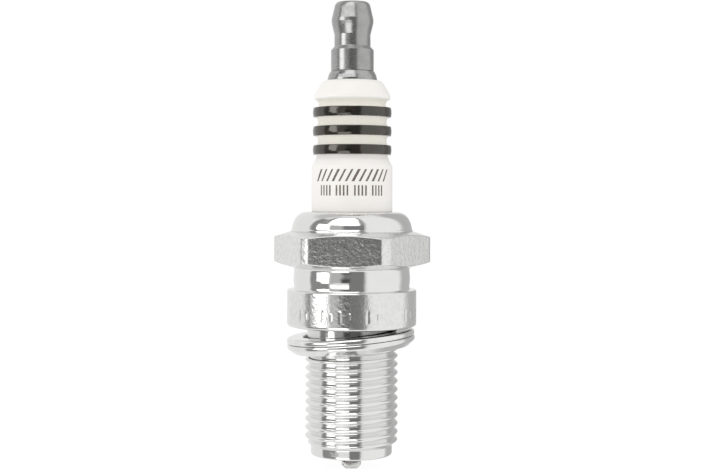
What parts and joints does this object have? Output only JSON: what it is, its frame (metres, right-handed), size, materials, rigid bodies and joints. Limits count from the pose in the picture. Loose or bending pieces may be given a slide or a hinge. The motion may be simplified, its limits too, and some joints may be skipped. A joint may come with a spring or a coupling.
{
  "type": "spark plug",
  "caption": "Long-reach resistor spark plug with a ribbed insulator, hexagon shell, loose folded gasket, screw-on terminal nut and a low ground strap.",
  "frame": {"origin": "the plug's axis at the plane of the gasket seat, the underside of the collar", "axes": "+Z along the axis towards the terminal, the ground electrode is welded on the +Y side"},
  "size_m": [0.0232, 0.0218, 0.0691],
  "materials": {
    "plated_steel": "bright nickel plating, fine handling marks",
    "gasket_steel": "bright plated sheet, rolled edges",
    "nickel_alloy": "drawn wire, satin, faint heat tint at the weld",
    "white_ceramic": "clear gloss glaze over warm white alumina",
    "dark_glaze": "gloss, greenish black",
    "stud_steel": "satin grey plating",
    "nut_steel": "satin dark grey plating, turned",
    "seal_glass": "dull, metal-filled glass",
    "resistor_body": "matt, granular",
    "copper": "bright drawn copper",
    "iridium": "bright precious metal",
    "washer_steel": "soft plated steel",
    "ring_steel": "drawn wire",
    "talc": "matt pressed powder"
  },
  "bodies": {
    "plug": {"shell": "plated_steel", "ground_electrode": "nickel_alloy", "insulator": "white_ceramic", "rib_glaze": "dark_glaze", "terminal_stud": "stud_steel", "upper_glass_seal": "seal_glass", "resistor": "resistor_body", "lower_glass_seal": "seal_glass", "center_electrode": "nickel_alloy", "copper_core": "copper", "iridium_tip": "iridium", "seat_washer": "washer_steel", "lower_packing_ring": "ring_steel", "talc_filling": "talc", "upper_packing_ring": "ring_steel"},
    "terminal_nut": {"terminal_nut": "nut_steel"},
    "gasket": {"gasket": "gasket_steel"}
  },
  "joints": [
    {"name": "terminal_nut_lift", "type": "slide", "parent": "plug", "child": "terminal_nut", "axis": [0, 0, 1], "range_m": [0, 0.009]},
    {"name": "gasket_tilt", "type": "hinge", "parent": "plug", "child": "gasket", "pos_m": [0.01152, 0, -0.00293], "axis": [0, 1, 0], "range_deg": [0, 4.6]}
  ]
}
